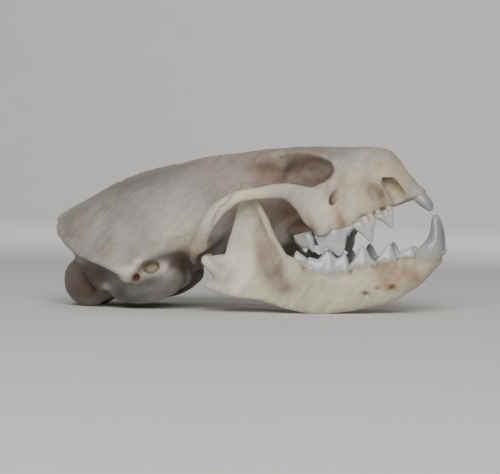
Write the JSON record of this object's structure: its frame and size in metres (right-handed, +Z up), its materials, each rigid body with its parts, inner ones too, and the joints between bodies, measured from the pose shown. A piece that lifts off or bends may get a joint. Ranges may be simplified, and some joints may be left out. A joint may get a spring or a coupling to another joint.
{
  "type": "mink skull",
  "caption": "Life-size skull of a mink with its lower jaw set slightly open, lying as it rests on a table.",
  "frame": {"origin": "on the floor, under the middle of the skull's bounding box", "axes": "+X towards the snout, +Y the animal's left, +Z up"},
  "size_m": [0.0716, 0.0384, 0.0298],
  "materials": {
    "braincase_bone": "dry bone, satin, faintly pink-grey",
    "snout_bone": "dry bone, satin, warm cream",
    "arch_bone": "dry bone, satin, warm cream",
    "bulla_bone": "thin dry bone, satin",
    "jaw_bone": "dry bone, satin, warm cream",
    "tooth_enamel": "glossy white enamel"
  },
  "bodies": {
    "root": {"braincase": "braincase_bone", "snout": "snout_bone", "zygomatic_arch_right": "arch_bone", "zygomatic_arch_left": "arch_bone", "auditory_bulla_right": "bulla_bone", "auditory_bulla_left": "bulla_bone", "mandible_right": "jaw_bone", "mandible_left": "jaw_bone"}
  },
  "joints": []
}
